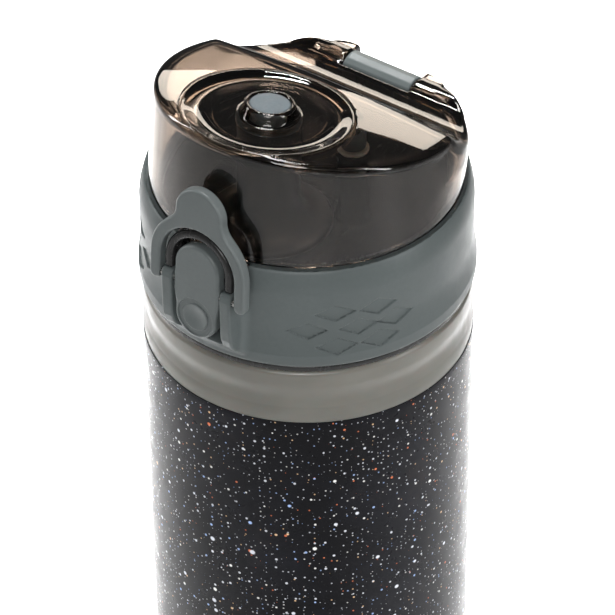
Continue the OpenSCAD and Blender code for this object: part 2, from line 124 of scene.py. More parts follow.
# Outlines across the lid, (y, z)
CHEEK = [(-33.4, 2.6), (-35.2, 3.0), (-36.6, 3.9), (-37.8, 5.4), (-38.45, 7.4), (-38.6, 10), (-38.6, 17.4),
         (-38.3, 18.7), (-37.6, 19.25), (-33.4, 19.25)]
KNUCKLE = [(24.7, 22.5), (31.6, 22.5), (31.6, 24.5), (30.8, 27.6), (29.85, 30.2), (29.3, 31.8), (28.7, 32.4),
           (27.4, 32.75), (25.9, 32.45), (25.1, 31.9), (24.6, 31.1)]


def face_z(y):
    """Height of the cover's front face along its middle."""
    half = RIDGE_Y - DISH_Y
    return RIDGE_Z - (y - RIDGE_Y) * FACE_SLOPE + (half ** 2 - (y - DISH_Y) ** 2) / (2 * FACE_R)


# ---------- frames ----------
LIFT = Matrix.Translation((0, 0, SEAT))
FACE_FRAME = Matrix.Translation((0, DISH_Y, face_z(DISH_Y))) @ Matrix.Rotation(-FACE_TILT, 4, "X")
LATCH_FRAME = Matrix.Translation((0, LATCH_Y, LATCH_Z)) @ Matrix.Rotation(-LATCH_LEAN, 4, "X")
ACROSS = Matrix.Rotation(pi / 2, 4, "Y")         # lays a turned part along X
HINGE_FRAME = Matrix.Translation((0, HINGE_Y, HINGE_Z)) @ ACROSS


# ---------- distance fields ----------
def smax(a, b, k):
    """Larger of two fields, the corner between them rounded over about k."""
    h = np.clip(0.5 + 0.5 * (a - b) / k, 0, 1)
    return b + (a - b) * h + k * h * (1 - h)


def smin(a, b, k):
    """Smaller of two fields, the corner between them filled over about k."""
    return -smax(-a, -b, k)


def slab(v, low, high):
    """The space between two parallel planes."""
    return abs(v - (low + high) / 2) - (high - low) / 2


def rounded(a, b, r):
    """Where two fields at right angles meet, with the outer edge rounded by r."""
    a, b = a + r, b + r
    return np.minimum(np.maximum(a, b), 0) + np.hypot(np.maximum(a, 0), np.maximum(b, 0)) - r


def polygon_field(px, py, points):
    """Signed distance to a closed polygon in a plane."""
    px, py = np.broadcast_arrays(px, py)
    best = np.full(px.shape, 1e9)
    inside = np.zeros(px.shape, bool)
    for (ax, ay), (bx, by) in zip(points, points[1:] + points[:1]):
        ex, ey = bx - ax, by - ay
        t = np.clip(((px - ax) * ex + (py - ay) * ey) / (ex * ex + ey * ey), 0, 1)
        best = np.minimum(best, (px - ax - t * ex) ** 2 + (py - ay - t * ey) ** 2)
        if ey:
            inside ^= ((ay > py) != (by > py)) & (px < ax + (py - ay) / ey * ex)
    return np.where(inside, -1, 1) * np.sqrt(best)


def surface_nets(values):
    """Vertices, in grid steps, and quads of the zero surface of a field sampled on a grid."""
    sign = values < 0
    cells = np.array(values.shape) - 1
    ids, spots, quads = [], [], []
    for axis in range(3):
        near, away = [slice(None)] * 3, [slice(None)] * 3
        near[axis], away[axis] = slice(None, -1), slice(1, None)
        cross = sign[tuple(near)] != sign[tuple(away)]
        at = np.stack(np.nonzero(cross), 1)
        v0, v1 = values[tuple(near)][cross], values[tuple(away)][cross]
        spot = at.astype(float)
        spot[:, axis] += v0 / (v0 - v1)
        u, w = [(1, 2), (2, 0), (0, 1)][axis]
        ring = []
        for du, dw in ((1, 1), (0, 1), (0, 0), (1, 0)):
            cell = at.copy()
            cell[:, u] -= du
            cell[:, w] -= dw
            ring.append((cell[:, 0] * cells[1] + cell[:, 1]) * cells[2] + cell[:, 2])
            spots.append(spot)
        ids += ring
        ring = np.stack(ring, 1)
        flip = v0 >= 0
        ring[flip] = ring[flip][:, ::-1]
        quads.append(ring)
    used, where = np.unique(np.concatenate(ids), return_inverse=True)
    spots = np.concatenate(spots)
    count = np.bincount(where)
    vertices = np.stack([np.bincount(where, spots[:, k]) / count for k in range(3)], 1)
    return vertices, np.searchsorted(used, np.concatenate(quads))


def sampled(field, low, high, step, block=6):
    """A field on a grid. Blocks far from its surface keep the value at their middle."""
    counts = [int((b - a + 4 * step) / (step * block)) + 1 for a, b in zip(low, high)]
    start = [a - 2 * step for a in low]
    middle = [s + step * (block - 1) / 2 + step * block * np.arange(n) for s, n in zip(start, counts)]
    coarse = field(*np.meshgrid(*middle, indexing="ij")) + 0.0
    values = coarse.repeat(block, 0).repeat(block, 1).repeat(block, 2)
    near = np.stack(np.nonzero(abs(coarse) < 1.6 * step * block), 1)
    offset = np.stack(np.meshgrid(*[np.arange(block)] * 3, indexing="ij"), -1).reshape(-1, 3)
    for part in np.array_split(near, max(1, len(near) // 4000)):
        at = (part[:, None] * block + offset).reshape(-1, 3)
        x, y, z = (start[k] + step * at[:, k] for k in range(3))
        values[at[:, 0], at[:, 1], at[:, 2]] = field(x, y, z)
    return values, start


def gradient(field, p, e=0.02):
    """A field's value and gradient at points."""
    x, y, z = p.T
    return field(x, y, z), np.stack([
        field(x + e, y, z) - field(x - e, y, z),
        field(x, y + e, z) - field(x, y - e, z),
        field(x, y, z + e) - field(x, y, z - e)], 1) / (2 * e)


def field_mesh(name, field, low, high, step):
    """A closed mesh of a field's zero surface, lifted onto the bottle and shaded by the field's gradient."""
    values, start = sampled(field, low, high, step)
    spots, quads = surface_nets(values)
    points = np.array(start) + spots * step
    for _ in range(2):
        value, grad = gradient(field, points)
        reach = np.clip(value / np.maximum((grad ** 2).sum(1), 0.3), -0.5 * step, 0.5 * step)
        points -= grad * reach[:, None]
    grad = gradient(field, points)[1]
    normals = grad / np.maximum(np.linalg.norm(grad, axis=1), 1e-6)[:, None]
    points[:, 2] += SEAT
    mesh = bpy.data.meshes.new(name)
    mesh.vertices.add(len(points))
    mesh.vertices.foreach_set("co", (points * MM).astype(np.float32).ravel())
    mesh.loops.add(quads.size)
    mesh.loops.foreach_set("vertex_index", quads.astype(np.int32).ravel())
    mesh.polygons.add(len(quads))
    mesh.polygons.foreach_set("loop_start", np.arange(0, quads.size, 4, dtype=np.int32))
    mesh.update(calc_edges=True)
    mesh.polygons.foreach_set("use_smooth", np.ones(len(quads), bool))
    mesh.normals_split_custom_set_from_vertices(normals.tolist())
    return mesh


# ---------- lathed and swept meshes ----------
SHARP = radians(35)                              # an edge that turns further than this stays sharp


def add_piece(name, mesh, body, nodes, material):
    """Puts a mesh in the scene as a piece that rides on a body and stands for CAD nodes."""
    obj = bpy.data.objects.new(name, mesh)
    bpy.context.scene.collection.objects.link(obj)
    mesh.materials.append(material)
    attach(obj, body)
    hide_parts(*nodes)


def arc(cx, cy, r, a0, a1, n=8):
    """Points on an arc, angles in degrees."""
    angles = [radians(a0 + (a1 - a0) * i / n) for i in range(n + 1)]
    return [(cx + r * cos(a), cy + r * sin(a)) for a in angles]


def lathe(profile, segments=192, swell=None):
    """Vertices and faces of a closed profile (radius, height) turned about Z. swell(angle, radius, height)
    is added to the radius."""
    verts, rings = [], []
    for r, z in profile:
        if r < 1e-6:
            rings.append([len(verts)] * segments)
            verts.append((0, 0, z))
            continue
        rings.append([len(verts) + i for i in range(segments)])
        for i in range(segments):
            a = 2 * pi * i / segments
            q = r + (swell(a, r, z) if swell else 0)
            verts.append((q * cos(a), q * sin(a), z))
    faces = []
    for a, b in zip(rings, rings[1:] + rings[:1]):
        for i in range(segments):
            j = (i + 1) % segments
            face = list(dict.fromkeys((a[i], a[j], b[j], b[i])))
            if len(face) > 2:
                faces.append(face)
    return verts, faces


def sweep(points, r, sides=10, closed_by=2):
    """Vertices and faces of a round wire along points, its ends domed over closed_by rings."""
    tangents = [(b - a).normalized() for a, b in zip(points, points[1:])]
    tangents = [tangents[0]] + [(a + b).normalized() for a, b in zip(tangents, tangents[1:])] + [tangents[-1]]
    rings = [(p, t, 1) for p, t in zip(points, tangents)]
    for end, way in ((0, -1), (-1, 1)):
        p, t = points[end], tangents[end]
        dome = [(p + t * way * r * sin(pi / 2 * i / (closed_by + 1)), t, cos(pi / 2 * i / (closed_by + 1)))
                for i in range(1, closed_by + 1)]
        rings = dome[::-1] + rings if way < 0 else rings + dome
    verts, side = [], tangents[0].orthogonal().normalized()
    for p, t, k in rings:
        side = (side - t * side.dot(t)).normalized()
        up = t.cross(side)
        verts += [p + (side * cos(2 * pi * i / sides) + up * sin(2 * pi * i / sides)) * r * k
                  for i in range(sides)]
    last = sides * (len(rings) - 1)
    faces = [[sides * i + j, sides * i + (j + 1) % sides, sides * (i + 1) + (j + 1) % sides,
              sides * (i + 1) + j] for i in range(len(rings) - 1) for j in range(sides)]
    return verts, faces + [list(range(sides))[::-1], [last + j for j in range(sides)]]


def mesh_of(name, part, place=LIFT):
    """A mesh of one closed part, (vertices, faces) in millimetres, smooth but for its sharp edges."""
    verts, faces = part
    mesh = bpy.data.meshes.new(name)
    bm = bmesh.new()
    made = [bm.verts.new((place @ Vector(v)) * MM) for v in verts]
    for face in faces:
        bm.faces.new([made[i] for i in face])
    bmesh.ops.recalc_face_normals(bm, faces=bm.faces)
    for face in bm.faces:
        face.smooth = True
    for edge in bm.edges:
        edge.smooth = edge.calc_face_angle(0) < SHARP
    bm.to_mesh(mesh)
    bm.free()
    return mesh


# ---------- moulded parts, as fields ----------
def in_frame(place, y, z):
    """Depth and height in a frame that is only shifted and leant about X."""
    y, z = y - place.translation.y, z - place.translation.z
    c, s = place[1][1], place[2][1]
    return y * c + z * s, z * c - y * s


def thread(angle, z, start):
    """Height of the thread's ridge, 0 to 1, at an angle and height. It fades out at both ends."""
    turn = angle / (2 * pi) % 1
    t = turn + np.round((z - start) / PITCH - turn)
    shape = np.clip((1 - abs(z - start - PITCH * t)) / 0.5, 0, 1)
    return shape * np.clip(np.minimum(t, THREAD_TURNS - t) / 0.1, 0, 1)


def cover_r(y, z):
    """Outer radius of the cover's side, which leans in at the front and stands upright behind."""
    front = SIDE_R - SIDE_LEAN * smax(z - SIDE_FOOT, 0, 3)
    rear = SIDE_R + REAR_SWELL * np.clip((z - SIDE_FOOT) / 7, 0, 1) - 0.03 * np.maximum(z - 31, 0) ** 2
    t = np.clip((y + 6) / 22, 0, 1)
    return front + np.maximum(rear - front, 0) * t * t * (3 - 2 * t)


def cover_body(x, y, z, inset):
    """The space under the cover's outer faces, drawn in by inset all round."""
    side = np.hypot(x, y) - cover_r(y, z) + inset
    rise = np.hypot(x, z - RIDGE_Z + CROWN_R) + RIDGE_Z - CROWN_R
    front = (rise - face_z(np.minimum(y, RIDGE_Y + 8))) * cos(FACE_TILT) + inset
    rear = VALLEY_R + inset - np.hypot(np.minimum(y - VALLEY_Y, 0), REAR_Z + VALLEY_R - z)
    return smax(side, smax(front, rear, 0.7), 1.4)


def cover(x, y, z):
    """Flip cover: a shell with a thumb dish, a boss for the plug, a catch and two ears."""
    yf, zf = in_frame(FACE_FRAME, y, z)
    rf = np.hypot(x, yf)
    body = cover_body(x, y, z, 0)
    bowl = smax((rf - DISH_R - (zf + DISH_DEPTH) * DISH_FLARE) * 0.353, -DISH_DEPTH - zf, 0.35)
    boss = smax((rf - BOSS_R - 0.26 * (BOSS_H - zf)) * 0.967, zf - BOSS_H, 0.5)
    solid = smax(body, -cover_body(x, y, z, WALL), 0.4)
    under = smax((rf - DISH_R - 1.2 - (zf + DISH_DEPTH) * 1.5) * 0.55, -DISH_DEPTH - WALL - zf, 0.8)
    solid = smin(solid, smax(under, body, 0.5), 1.2)
    solid = smax(solid, -bowl, 0.25)
    solid = smin(solid, np.maximum(boss, -DISH_DEPTH - 0.5 * WALL - zf), 0.9)
    solid = smax(solid, PLUG_HOLE_R - rf, 0.35)
    solid = smax(solid, COVER_LOW - z, 0.5)
    post = smax(np.hypot(x - VENT_X, y - VENT_Y) - VENT_POST_R,
                smax(VENT_TOP + 2.3 - z, body + 0.5, 0.3), 0.3)
    solid = smin(solid, post, 0.8)
    hub = np.hypot(y - HINGE_Y, z - HINGE_Z)
    beside = abs(x) - KNUCKLE_W - KNUCKLE_GAP
    notch = np.minimum(hub - SLOT_R, HINGE_Y - y)
    notch = np.minimum(notch, np.maximum(HINGE_Y - SLOT_R - y, z - HINGE_Z))
    notch = np.maximum(beside, notch)
    quarter = np.maximum(hub - EAR_R, HINGE_Z - z)
    behind = np.maximum(HINGE_Y + 0.2 - y, np.maximum(KNUCKLE_R - hub, -quarter))
    solid = smax(smax(solid, -notch, 0.4), -behind, 0.4)
    side = np.hypot(x, y) - cover_r(y, z)
    barrel = rounded(hub - KNUCKLE_R, -beside, 0.5)
    block = np.maximum(np.maximum(quarter, HINGE_Y - 1.5 - y), np.maximum(z - EAR_Z, -beside))
    block = smax(block, abs(x) - EAR_W, 0.8)
    ears = smax(smin(barrel, block, 0.5), side, 1.0)
    solid = smin(solid, ears, 0.7)
    solid = smax(solid, PIN_R + 0.05 - np.maximum(hub, abs(x) - PIN_BED), 0.1)
    tongue = np.maximum(slab(y, -32.5, -30.9), slab(z, CATCH_Z, 25.5))
    lip = np.maximum(np.maximum(hub - CATCH_REACH, y + 31.5), slab(z, CATCH_Z, CATCH_Z + 1.9))
    catch = rounded(smin(tongue, lip, 0.4), abs(x) - CATCH_W, 0.35)
    return smin(solid, catch, 0.5)


def collar_r(z):
    """Outer radius of the collar: a skirt that flares at the foot and closes in over its top."""
    return COLLAR_R + 0.75 * np.clip((9.5 - z) / 6.5, 0, 1) ** 1.6 - 0.036 * np.maximum(z - 17.9, 0) ** 2


def diamonds(x, y, z):
    """Three rows of diamonds either side of the latch, as one field in the collar's surface."""
    around = np.arctan2(abs(x), -y) * DIAMOND_ON_R
    field = 1e3
    for angle, height in DIAMONDS:
        u = abs(around - radians(angle) * DIAMOND_ON_R) / DIAMOND_W
        w = abs(z - height) / DIAMOND_H
        field = np.minimum(field, (u + w - 1) * DIAMOND_H * 0.9)
    return field


def bow(x, y, z):
    """Bow of the inner cap that stands on the cheeks, round the button's top and inside the ring."""
    yl, zl = in_frame(LATCH_FRAME, y, z)
    arch = abs(np.hypot(x, np.maximum(zl - BOW_MID, 0)) - BOW_R) - BOW_HALF
    front = smax(smax(arch, -0.75 - yl, 0.8), np.where(z < CAP_HIGH, y + 31.2, y + 34.05), 0.4)
    return smax(front, WINDOW_Z - z, 0.2)


def collar(x, y, z):
    """Collar with the latch's cheeks, the rear wall and the fixed knuckle of the hinge."""
    r = np.hypot(x, y)
    outer = r - collar_r(z)
    skirt = smax(smax(outer, -z, 1.0), z - COLLAR_TOP, 0.9)
    ledge = np.maximum(29.4 - r, slab(z, 21.5, 23.3))
    solid = smax(skirt, np.minimum(33.1 - r, ledge), 0.3)
    cheeks = rounded(polygon_field(y, z, CHEEK), abs(x) - CHEEK_W, 0.5)
    solid = smin(solid, cheeks, 1.8)
    rear = smax(slab(r, 31.2, 33.2 - 0.18 * np.maximum(z - 23.8, 0)), abs(x) - REAR_WALL_W, 0.5)
    rear = smax(smax(rear, z - REAR_WALL_TOP, 0.6), np.maximum(HINGE_Y - y, 22 - z), 0.3)
    knuckle = rounded(polygon_field(y, z, KNUCKLE) - 0.6, abs(x) - KNUCKLE_W, 0.5)
    solid = smin(solid, smin(rear, knuckle, 0.8), 0.8)
    hub = np.hypot(y - HINGE_Y, z - HINGE_Z)
    solid = smax(solid, -np.maximum(hub - EAR_R - 0.15, slab(abs(x), 8.5, 28.5)), 0.3)
    mouth = np.maximum(slab(y, 20, HINGE_Y), slab(z, HINGE_Z - 6, HINGE_Z))
    pocket = np.maximum(abs(x) - SPRING_POCKET_W, np.minimum(hub - SPRING_POCKET_R, mouth))
    solid = smax(solid, -pocket, 0.3)
    solid = np.maximum(solid, PIN_R + 0.02 - hub)
    window = np.maximum(y + 30, np.minimum(np.maximum(abs(x) - CHEEK_IN, 3.9 - z),
                                           np.maximum(abs(x) - WINDOW_W, WINDOW_Z - z)))
    solid = smax(solid, -window, 0.5)
    yl, zl = in_frame(LATCH_FRAME, y, z)
    solid = np.maximum(solid, 0.82 - np.hypot(yl, zl) * np.where(abs(yl) < 3, 1, 9))
    return smax(solid, -np.maximum(diamonds(x, y, z), -outer - DIAMOND_D), 0.25)


def inner_cap(x, y, z):
    """Screw cap: threaded skirt with a lip, a deck with the mouth hole, and the air vent's tower."""
    r = np.hypot(x, y)
    bore = CAP_BORE - THREAD_D * thread(np.arctan2(y, x), z, 3)
    skirt = np.maximum(smax(r - CAP_R, bore - r, 0.3), slab(z, CAP_LOW, CAP_HIGH))
    lip = rounded(np.maximum(r - LIP_R, CAP_BORE - r), slab(z, CAP_LOW, LIP_TOP), 0.3)
    deck = np.maximum(r - 32, slab(z, 16, DECK_Z))
    rim = smax(smax(31 - r, r - CAP_R, 0.3), slab(z, 15, CAP_HIGH), 0.5)
    solid = smin(smin(np.minimum(skirt, lip), deck, 0.5), rim, 0.8)
    mouth = np.hypot(x, y - MOUTH_Y)
    vent = np.hypot(x - VENT_X, y - VENT_Y)
    solid = smin(solid, smax(vent - VENT_R, slab(z, 17, VENT_TOP), 0.3), 1.2)
    solid = smin(solid, rounded(mouth - 15, slab(z, 17, DECK_Z + 0.3), 0.2), 0.2)
    solid = smax(smax(solid, SOCKET_R - mouth, 0.3), VENT_BORE - vent, 0.2)
    notch = np.maximum(np.maximum(abs(x) - WINDOW_W, WINDOW_Z - z), y + 30.5)
    solid = smax(solid, -notch, 0.3)
    seat = rounded(np.hypot(x, z - SPRING_Z) - 1, slab(y, -33.7, -32.4), 0.2)
    return smin(np.minimum(solid, seat), bow(x, y, z), 0.4)


def mouthpiece(x, y, z):
    """Soft spout: a flange on the deck, a waisted neck and a lip that slopes with the cover."""
    r = np.hypot(x, y - MOUTH_Y)
    neck = np.maximum(r - SPOUT_R, slab(z, 19.5, 45))
    flange = rounded(r - FLANGE_R, slab(z, 19, 20.6), 0.6)
    solid = smin(neck, flange, 6)
    solid = np.minimum(np.maximum(solid, 19 - z), rounded(r - 8.8, slab(z, 16.4, 19.6), 0.4))
    zf = in_frame(FACE_FRAME, y, z)[1]
    return smax(smax(solid, zf + DISH_DEPTH + WALL + 0.95, 1.6), MOUTH_BORE - r, 0.8)


def button(x, y, z):
    """Rocker button: a plate with round ends, a dished thumb pad inside two fine rings, and a hook."""
    yl, zl = in_frame(LATCH_FRAME, y, z)
    paddle = np.hypot(x, np.maximum(zl - 4.7, 0) + np.minimum(zl + 1.5, 0)) - 5.45
    foot = np.hypot(x, np.maximum(zl - 1, 0) + np.minimum(zl - PAD_Z, 0)) - 5.0
    solid = rounded(smin(paddle, foot, 1.2), slab(yl, -1.25, 1.35), 0.7)
    boss = np.maximum(np.maximum(np.hypot(yl, zl) - 2.1, abs(x) - 5.4), -0.75 - yl)
    solid = smin(solid, boss, 0.5)
    hook = rounded(np.maximum(abs(x) - 3, slab(zl, 5.4, 7.4)), slab(yl, 0, 1.75), 0.2)
    solid = smin(solid, hook, 0.3)
    pad = np.hypot(x, zl - PAD_Z)
    solid = smax(solid, -np.maximum(slab(pad, 3.1, 4.25), yl + 0.9), 0.25)
    solid = smax(solid, 7.8 - np.sqrt(pad ** 2 + (yl + 8.6) ** 2), 0.3)
    return np.maximum(solid, LATCH_BORE - np.hypot(yl, zl))


def ring(x, y, z):
    """Safety ring: a flat arch on the latch pin with a finger tab on top."""
    yl, zl = in_frame(LATCH_FRAME, y, z)
    above = np.maximum(zl - 5.1, 0)
    outer = np.hypot(x, above) - RING_OUT
    tab = np.maximum(np.hypot(x, np.maximum(zl - 17.8, 0)) - 5.7, 10 - zl)
    outer = smin(outer, tab, 2.2)
    hole = np.hypot(x, np.maximum(zl - 4.85, 0)) - RING_IN
    legs = smax(slab(abs(x), RING_IN, RING_OUT), -1.6 - zl, 1.3)
    flat = np.where(zl < 3, legs, np.maximum(outer, -hole))
    solid = rounded(flat, slab(yl, -1.25, 1.25), 0.6)
    return np.maximum(solid, np.where(abs(x) < 10.6, LATCH_BORE - np.hypot(yl, zl), -1))


# ---------- turned parts ----------
def bottle_profile():
    """Outside, mouth and inside of the bottle."""
    r, edge, groove = BODY_R - FILM_T, 3.8, SEAT - 8.7
    inner = r - 2.2
    wave = [(r - 0.15 - 0.3 * cos(pi * t / 6.4) ** 2 * (abs(t) < 3.2), groove + t)
            for t in [-3.2 + 0.4 * i for i in range(17)]]
    wave[0] = (r, groove - 3.3)
    neck = [(NECK_R, SEAT - 1.9 + 0.15 * i) for i in range(1, 99)]
    top = SEAT + NECK_TOP
    return ([(0, 0.4), (22, 0.4), (24, 0)] + arc(r - edge, edge, edge, -90, 0, 12)
            + [(r, FILM_LOW - 1)] + [(r, z) for z in np.linspace(FILM_LOW, FILM_TOP, 12)]
            + wave + arc(r - 1.35, SEAT - 3.1, 1.2, 0, 90, 8) + arc(30.1, SEAT - 1.4, 0.5, 270, 180, 4)
            + neck + arc(NECK_R - 0.6, top - 0.6, 0.6, 0, 90, 6) + arc(27.9, top - 0.5, 0.5, 90, 180, 4)
            + [(27.4, SEAT - 2)] + arc(inner - 3.5, SEAT - 11, 3.5, 52, 0, 8)
            + arc(inner - 3, 5.6, 3, 0, -90, 8) + [(0, 2.6)])


def bottle_mesh():
    """The bottle with the thread's ridge raised on its neck."""
    def swell(angle, r, z):
        return THREAD_D * float(thread(angle, z - SEAT, 5)) if r == NECK_R else 0
    return mesh_of("bottle_shell", lathe(bottle_profile(), 288, swell), place=Matrix())


def coil(radius, wire, turns, length, place):
    """A spring's wire about Z."""
    steps = int(turns * 28)
    path = [Vector((radius * cos(2 * pi * turns * i / steps), radius * sin(2 * pi * turns * i / steps),
                    length * (i / steps - 0.5))) for i in range(steps + 1)]
    return mesh_of("coil", sweep([place @ p for p in path], wire))


def turned(name, profile, place, segments=96):
    """A profile turned about Z and put in its place on the lid."""
    return mesh_of(name, lathe(profile, segments), place=LIFT @ place)


def pin(name, r, half, place):
    """A pin about Z with eased ends."""
    profile = ([(0, -half)] + arc(r - 0.2, -half + 0.2, 0.2, -90, 0, 4)
               + arc(r - 0.2, half - 0.2, 0.2, 0, 90, 4) + [(0, half)])
    return turned(name, profile, place, 40)


# ---------- materials ----------
class Look:
    """A material being built: its tree, its shader, and coordinates in millimetres."""

    def __init__(self, name, colour, rough, **sockets):
        self.material = bpy.data.materials.new(name)
        self.material.use_nodes = True
        self.tree = self.material.node_tree
        self.shader = self.tree.nodes["Principled BSDF"]
        self.material.diffuse_color = (*colour, 1)
        self.shader.inputs["Base Color"].default_value = (*colour, 1)
        self.shader.inputs["Roughness"].default_value = rough
        for key, value in sockets.items():
            self.shader.inputs[key.replace("_", " ")].default_value = value
        self.place = self.add("Mapping", {"Vector": self.add("TexCoord").outputs["Object"],
                                          "Scale": (1 / MM, 1 / MM, 1 / MM)}).outputs[0]

    def add(self, kind, inputs=(), **settings):
        node = self.tree.nodes.new("ShaderNode" + kind)
        for key, value in settings.items():
            setattr(node, key, value)
        for key, value in dict(inputs).items():
            if isinstance(value, bpy.types.NodeSocket):
                self.tree.links.new(value, node.inputs[key])
            else:
                node.inputs[key].default_value = value
        return node

    def to(self, socket, value):
        self.tree.links.new(value, self.shader.inputs[socket])

    def math(self, operation, a, b=0.0, c=0.0):
        return self.add("Math", {0: a, 1: b, 2: c}, operation=operation).outputs[0]

    def noise(self, size, detail=3, rough=0.5, vector=None):
        """Noise with features about size millimetres across."""
        return self.add("TexNoise", {"Vector": vector or self.place, "Scale": 1 / size, "Detail": detail,
                                     "Roughness": rough}).outputs["Fac"]

    def stretched(self, x, y, z):
        return self.add("Mapping", {"Vector": self.place, "Scale": (x, y, z)}).outputs[0]

    def span(self, fac, low, high, start=0.3, end=0.7):
        return self.add("MapRange", {"Value": fac, "From Min": start, "From Max": end, "To Min": low,
                                     "To Max": high}).outputs["Result"]

    def mix(self, fac, a, b):
        colour = [c if isinstance(c, bpy.types.NodeSocket) else (*c, 1) for c in (a, b)]
        node = self.add("Mix", data_type="RGBA")
        for socket, value in zip((node.inputs[0], node.inputs[6], node.inputs[7]), (fac, *colour)):
            if isinstance(value, bpy.types.NodeSocket):
                self.tree.links.new(value, socket)
            else:
                socket.default_value = value
        return node.outputs[2]

    def bump(self, height, depth, under=None):
        """Bump of a 0 to 1 height that is depth millimetres deep."""
        node = self.add("Bump", {"Height": height, "Distance": depth * MM, "Strength": 1.0})
        if under:
            self.tree.links.new(under, node.inputs["Normal"])
        return node.outputs[0]


def shade(colour, k):
    return tuple(min(1, c * k) for c in colour)


def satin_plastic(name, colour, rough=0.42, grain=0.012):
    """Moulded matt plastic: fine spark-eroded grain, faint flow marks and handling shine."""
    look = Look(name, colour, rough, IOR=1.49, Specular_IOR_Level=0.3)
    flow = look.noise(14, 3, 0.55, look.stretched(1, 1, 0.35))
    fine = look.noise(0.9, 2)
    look.to("Base Color", look.mix(look.span(flow, 0, 1), shade(colour, 0.93),
                                   look.mix(look.span(fine, 0, 1), shade(colour, 1.0), shade(colour, 1.08))))
    worn = look.noise(7, 4, 0.6)
    look.to("Roughness", look.span(worn, rough - 0.05, rough + 0.07))
    grit = look.noise(0.22, 2, 0.6)
    look.to("Normal", look.bump(look.noise(5, 2), 0.02, look.bump(grit, grain)))
    return look.material


def gloss_plastic(name, colour, rough=0.16):
    """Polished moulding with faint sink waviness and fine scratches."""
    look = Look(name, colour, rough, IOR=1.49, Specular_IOR_Level=0.3)
    cloud = look.noise(9, 3)
    look.to("Base Color", look.mix(look.span(cloud, 0, 1), shade(colour, 0.88), shade(colour, 1.1)))
    scratch = look.noise(0.5, 3, 0.6, look.stretched(1, 0.12, 0.3))
    look.to("Roughness", look.span(scratch, rough - 0.04, rough + 0.08))
    look.to("Normal", look.bump(look.noise(6, 2), 0.03, look.bump(scratch, 0.003)))
    return look.material


def silicone(name, colour, rough=0.5):
    """Soft rubber: matt, a little light inside, with faint dust."""
    look = Look(name, colour, rough, IOR=1.42, Subsurface_Weight=0.15, Subsurface_Scale=0.002)
    dust = look.noise(0.5, 4, 0.7)
    look.to("Base Color", look.mix(look.span(dust, 0, 1, 0.45, 0.75), colour, shade(colour, 1.25)))
    look.to("Roughness", look.span(look.noise(3, 3), rough - 0.06, rough + 0.08))
    look.to("Normal", look.bump(look.noise(0.3, 2), 0.008))
    return look.material


def steel(name):
    """Drawn stainless wire and pins: bright, with fine lines along the draw."""
    colour = (0.62, 0.61, 0.59)
    look = Look(name, colour, 0.25, Metallic=1.0)
    lines = look.noise(0.25, 3, 0.6, look.stretched(0.08, 1, 1))
    cloud = look.span(look.noise(2, 3), 0, 1)
    look.to("Base Color", look.mix(cloud, shade(colour, 0.85), shade(colour, 1.08)))
    look.to("Roughness", look.span(lines, 0.18, 0.36))
    look.to("Normal", look.bump(lines, 0.004))
    return look.material


def smoked_clear(name):
    """Smoked clear plastic: dark where light crosses much of it, glossy, with faint moulding waves."""
    look = Look(name, (0.93, 0.9, 0.87), 0.02, IOR=1.52, Transmission_Weight=1.0, Specular_IOR_Level=0.3)
    waves = look.noise(11, 2, 0.4, look.stretched(1, 1, 0.6))
    look.to("Base Color", look.mix(look.span(waves, 0, 1), (0.9, 0.87, 0.84), (0.97, 0.95, 0.92)))
    marks = look.noise(0.6, 3, 0.65, look.stretched(0.2, 1, 0.5))
    look.to("Roughness", look.span(marks, 0.015, 0.06, 0.5, 0.8))
    look.to("Normal", look.bump(waves, 0.03))
    smoke = look.add("VolumeAbsorption", {"Color": (0.46, 0.38, 0.31, 1), "Density": 700.0})
    look.tree.links.new(smoke.outputs[0], look.tree.nodes["Material Output"].inputs["Volume"])
    return look.material


def frosted_body(name):
    """Frosted smoke-grey bottle wall, warm, with light inside it."""
    colour = (0.16, 0.155, 0.135)
    look = Look(name, colour, 0.36, IOR=1.53, Subsurface_Weight=0.25, Subsurface_Scale=0.004,
                Transmission_Weight=0.12)
    cloud = look.noise(12, 3, 0.5, look.stretched(1, 1, 2))
    look.to("Base Color", look.mix(look.span(cloud, 0, 1), shade(colour, 0.92), shade(colour, 1.1)))
    look.to("Roughness", look.span(look.noise(2.5, 3), 0.31, 0.42))
    look.to("Normal", look.bump(look.noise(0.35, 2), 0.01, look.bump(look.noise(8, 1), 0.03)))
    return look.material


# Stars on the film: spacing, radius and rarity in cells of that spacing, and brightness
STARS = ((1.15, 0.2, 0.42, 0.55), (2.1, 0.17, 0.5, 0.8), (4.6, 0.12, 0.6, 1.0), (9.5, 0.075, 0.6, 1.0))
STAR_TINTS = ((0, (0.75, 0.78, 0.85, 1)), (0.5, (0.9, 0.9, 0.88, 1)), (0.7, (0.4, 0.55, 0.9, 1)),
              (0.84, (0.9, 0.6, 0.35, 1)), (0.93, (0.8, 0.22, 0.1, 1)))


